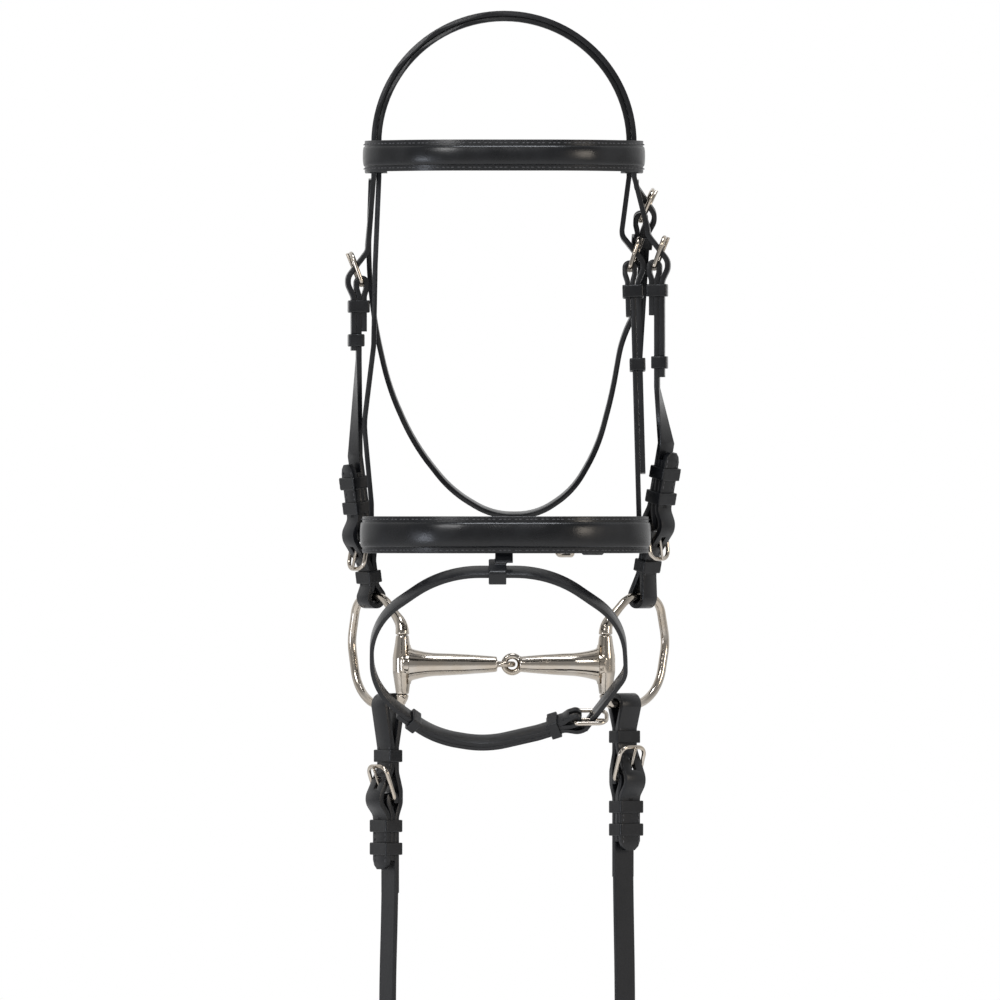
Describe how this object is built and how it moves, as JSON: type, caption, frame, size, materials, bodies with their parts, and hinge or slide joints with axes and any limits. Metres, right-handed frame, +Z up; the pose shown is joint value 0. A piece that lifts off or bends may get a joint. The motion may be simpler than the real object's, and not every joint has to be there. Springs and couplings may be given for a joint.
{
  "type": "snaffle bridle",
  "caption": "Black leather horse bridle with padded browband, padded noseband and flash strap, a jointed eggbutt snaffle bit and buckled reins folded below it.",
  "frame": {"origin": "underside of the two straps where they lie over the poll, on the middle of the headpiece", "axes": "+X to the near (left) side of the horse, +Y towards its neck, +Z up"},
  "size_m": [0.3008, 0.1829, 1.0482],
  "materials": {
    "bridle_leather": "satin",
    "polished_steel": "polished"
  },
  "bodies": {
    "headstall": {"flash_loop": "bridle_leather", "headpiece": "bridle_leather", "jaw_strap": "bridle_leather", "jaw_strap_buckle": "polished_steel", "jaw_strap_chape": "bridle_leather", "jaw_strap_keeper": "bridle_leather", "near_cheek_end_buckle": "polished_steel", "near_cheek_end_keepers": "bridle_leather", "near_cheek_strap": "bridle_leather", "near_cheek_top_buckle": "polished_steel", "near_cheek_top_keepers": "bridle_leather", "near_noseband_cheek": "bridle_leather", "noseband_cheek_buckle": "polished_steel", "noseband_cheek_keepers": "bridle_leather", "noseband_front": "bridle_leather", "noseband_padding": "bridle_leather", "noseband_sliphead": "bridle_leather", "off_cheek_end_buckle": "polished_steel", "off_cheek_end_keepers": "bridle_leather", "off_cheek_strap": "bridle_leather", "off_cheek_top_buckle": "polished_steel", "off_cheek_top_keepers": "bridle_leather"},
    "browband": {"browband": "bridle_leather", "browband_padding": "bridle_leather"},
    "throatlash": {"throatlash_strap": "bridle_leather", "throatlash_billet": "bridle_leather", "throatlash_buckle": "polished_steel", "throatlash_keeper": "bridle_leather"},
    "flash": {"flash_strap": "bridle_leather", "flash_buckle": "polished_steel", "flash_keepers": "bridle_leather"},
    "off_ring": {"off_bit_ring": "polished_steel"},
    "near_ring": {"near_bit_ring": "polished_steel"},
    "off_mouthpiece": {"off_mouthpiece": "polished_steel"},
    "near_mouthpiece": {"near_mouthpiece": "polished_steel"},
    "reins": {"near_rein_buckle": "polished_steel", "near_rein_cord": "bridle_leather", "near_rein_end": "bridle_leather", "near_rein_keepers": "bridle_leather", "near_rein_tail": "bridle_leather", "near_rein_tie": "bridle_leather", "off_rein_buckle": "polished_steel", "off_rein_cord": "bridle_leather", "off_rein_end": "bridle_leather", "off_rein_keepers": "bridle_leather", "off_rein_tail": "bridle_leather", "off_rein_tie": "bridle_leather", "rein_centre_buckle": "polished_steel", "rein_centre_keeper": "bridle_leather"},
    "off_cheek_top_tongue": {"off_cheek_top_tongue": "polished_steel"},
    "near_cheek_top_tongue": {"near_cheek_top_tongue": "polished_steel"},
    "noseband_cheek_tongue": {"noseband_cheek_tongue": "polished_steel"},
    "off_cheek_end_tongue": {"off_cheek_end_tongue": "polished_steel"},
    "near_cheek_end_tongue": {"near_cheek_end_tongue": "polished_steel"},
    "throatlash_tongue": {"throatlash_tongue": "polished_steel"},
    "jaw_strap_tongue": {"jaw_strap_tongue": "polished_steel"},
    "flash_tongue": {"flash_tongue": "polished_steel"},
    "off_rein_tongue": {"off_rein_tongue": "polished_steel"},
    "near_rein_tongue": {"near_rein_tongue": "polished_steel"},
    "rein_centre_tongue": {"rein_centre_tongue": "polished_steel"}
  },
  "joints": [
    {"name": "browband_slide", "type": "slide", "parent": "headstall", "child": "browband", "axis": [0, 0, 1], "range_m": [-0.002, 0.003]},
    {"name": "throatlash_swing", "type": "hinge", "parent": "headstall", "child": "throatlash", "pos_m": [0, 0.00695, -0.106], "axis": [1, 0, 0], "range_deg": [-0.5, 5]},
    {"name": "flash_swing", "type": "hinge", "parent": "headstall", "child": "flash", "pos_m": [-0.0044, -0.11, -0.374], "axis": [1, 0, 0], "range_deg": [-8, 2]},
    {"name": "off_ring_swing", "type": "hinge", "parent": "headstall", "child": "off_ring", "pos_m": [-0.085, 0.0094, -0.3915], "axis": [1, 0, 0], "range_deg": [-6, 6]},
    {"name": "near_ring_swing", "type": "hinge", "parent": "headstall", "child": "near_ring", "pos_m": [0.085, 0.0094, -0.3915], "axis": [1, 0, 0], "range_deg": [-6, 6]},
    {"name": "off_bit_turn", "type": "hinge", "parent": "off_ring", "child": "off_mouthpiece", "pos_m": [-0.069, -0.018, -0.437], "axis": [0, 0, 1], "range_deg": [-6, 6]},
    {"name": "near_bit_turn", "type": "hinge", "parent": "near_ring", "child": "near_mouthpiece", "pos_m": [0.069, -0.018, -0.437], "axis": [0, 0, 1], "range_deg": [-6, 6]},
    {"name": "reins_swing", "type": "hinge", "parent": "off_ring", "child": "reins", "pos_m": [0, -0.00475, -0.4645], "axis": [1, 0, 0], "range_deg": [-8, 8]},
    {"name": "off_cheek_top_tongue_lift", "type": "hinge", "parent": "headstall", "child": "off_cheek_top_tongue", "pos_m": [-0.097, -0.00675, -0.178], "axis": [0.0698, -0.9976, 0], "range_deg": [0, 5]},
    {"name": "near_cheek_top_tongue_lift", "type": "hinge", "parent": "headstall", "child": "near_cheek_top_tongue", "pos_m": [0.1023, -0.00675, -0.167], "axis": [0.0698, 0.9976, 0], "range_deg": [0, 5]},
    {"name": "noseband_cheek_tongue_lift", "type": "hinge", "parent": "headstall", "child": "noseband_cheek_tongue", "pos_m": [0.0855, -0.005, -0.168], "axis": [0, 0.9976, -0.0694], "range_deg": [0, 5]},
    {"name": "off_cheek_end_tongue_lift", "type": "hinge", "parent": "headstall", "child": "off_cheek_end_tongue", "pos_m": [-0.09729, 0.00587, -0.34933], "axis": [-0.5934, 0.8049, 0], "range_deg": [0, 5]},
    {"name": "near_cheek_end_tongue_lift", "type": "hinge", "parent": "headstall", "child": "near_cheek_end_tongue", "pos_m": [0.10371, -0.0016, -0.34224], "axis": [-0.6997, -0.7145, 0], "range_deg": [0, 5]},
    {"name": "throatlash_tongue_lift", "type": "hinge", "parent": "throatlash", "child": "throatlash_tongue", "pos_m": [0.0931, 0.01161, -0.13412], "axis": [0, 0.9866, 0.1633], "range_deg": [0, 5]},
    {"name": "jaw_strap_tongue_lift", "type": "hinge", "parent": "headstall", "child": "jaw_strap_tongue", "pos_m": [0.04683, 0.03648, -0.352], "axis": [0, 0, -1], "range_deg": [0, 5]},
    {"name": "flash_tongue_lift", "type": "hinge", "parent": "flash", "child": "flash_tongue", "pos_m": [0.0483, -0.05063, -0.47266], "axis": [0, 0.8568, 0.5156], "range_deg": [0, 5]},
    {"name": "off_rein_tongue_lift", "type": "hinge", "parent": "reins", "child": "off_rein_tongue", "pos_m": [-0.08032, -0.00585, -0.5285], "axis": [0.5934, -0.8049, 0], "range_deg": [0, 5]},
    {"name": "near_rein_tongue_lift", "type": "hinge", "parent": "reins", "child": "near_rein_tongue", "pos_m": [0.0831, -0.00629, -0.5155], "axis": [0.7923, 0.6101, 0], "range_deg": [0, 5]},
    {"name": "rein_centre_tongue_lift", "type": "hinge", "parent": "reins", "child": "rein_centre_tongue", "pos_m": [0, -0.065, -1], "axis": [0, 1, 0], "range_deg": [0, 5]}
  ],
  "couplings": [
    {"joint": "near_ring_swing", "follows": "off_ring_swing", "ratio": 1},
    {"joint": "near_bit_turn", "follows": "off_bit_turn", "ratio": -1}
  ]
}
